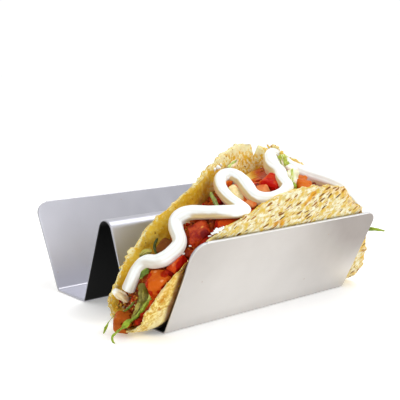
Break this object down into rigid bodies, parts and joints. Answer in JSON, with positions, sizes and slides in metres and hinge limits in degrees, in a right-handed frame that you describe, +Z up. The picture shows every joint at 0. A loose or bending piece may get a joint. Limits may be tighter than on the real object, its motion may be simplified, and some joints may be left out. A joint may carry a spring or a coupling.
{
  "type": "taco in a stand",
  "caption": "Filled hard-shell taco with tomato, lettuce and a piped crema line, standing in a folded sheet-steel taco stand.",
  "frame": {"origin": "middle of the underside of the whole object's box, on the table", "axes": "+Y along the taco's fold, away from the open end that is shown; +X across the stand, towards the filled slot; +Z up"},
  "size_m": [0.1198, 0.1416, 0.067],
  "materials": {
    "steel": "satin sheet steel",
    "corn_shell": "fried corn tortilla, blistered, with toasted spots",
    "crema": "smooth white cream",
    "ground_meat": "moist browned mince with sauce",
    "tomato": "wet cut tomato",
    "dark_tomato": "wet tomato pulp",
    "lettuce": "crisp leaf",
    "pale_lettuce": "pale leaf rib",
    "onion": "soft translucent onion"
  },
  "bodies": {
    "root": {"rack": "steel", "shell": "corn_shell", "crema": "crema", "lettuce_long": "lettuce", "lettuce_olive": "lettuce", "lettuce_sliver": "lettuce", "lettuce_stub": "lettuce", "lettuce_side": "lettuce", "lettuce_loop": "pale_lettuce", "lettuce_wall": "lettuce", "lettuce_top": "lettuce", "lettuce_ridge": "pale_lettuce", "lettuce_back": "lettuce", "lettuce_back_low": "lettuce", "tomato_front_big": "tomato", "tomato_front_mid": "tomato", "tomato_front_low": "tomato", "tomato_shaded": "dark_tomato", "tomato_red_1": "dark_tomato", "tomato_red_2": "tomato", "tomato_red_3": "dark_tomato", "tomato_strip": "tomato", "tomato_flesh": "tomato", "tomato_small_1": "tomato", "tomato_small_2": "dark_tomato", "tomato_block": "tomato", "tomato_ridge": "tomato", "tomato_middle": "dark_tomato", "tomato_back_1": "tomato", "tomato_back_2": "dark_tomato", "tomato_back_3": "tomato", "tomato_back_low": "tomato", "onion_front": "onion", "onion_top": "onion", "onion_back": "onion", "filling": "ground_meat"}
  },
  "joints": []
}
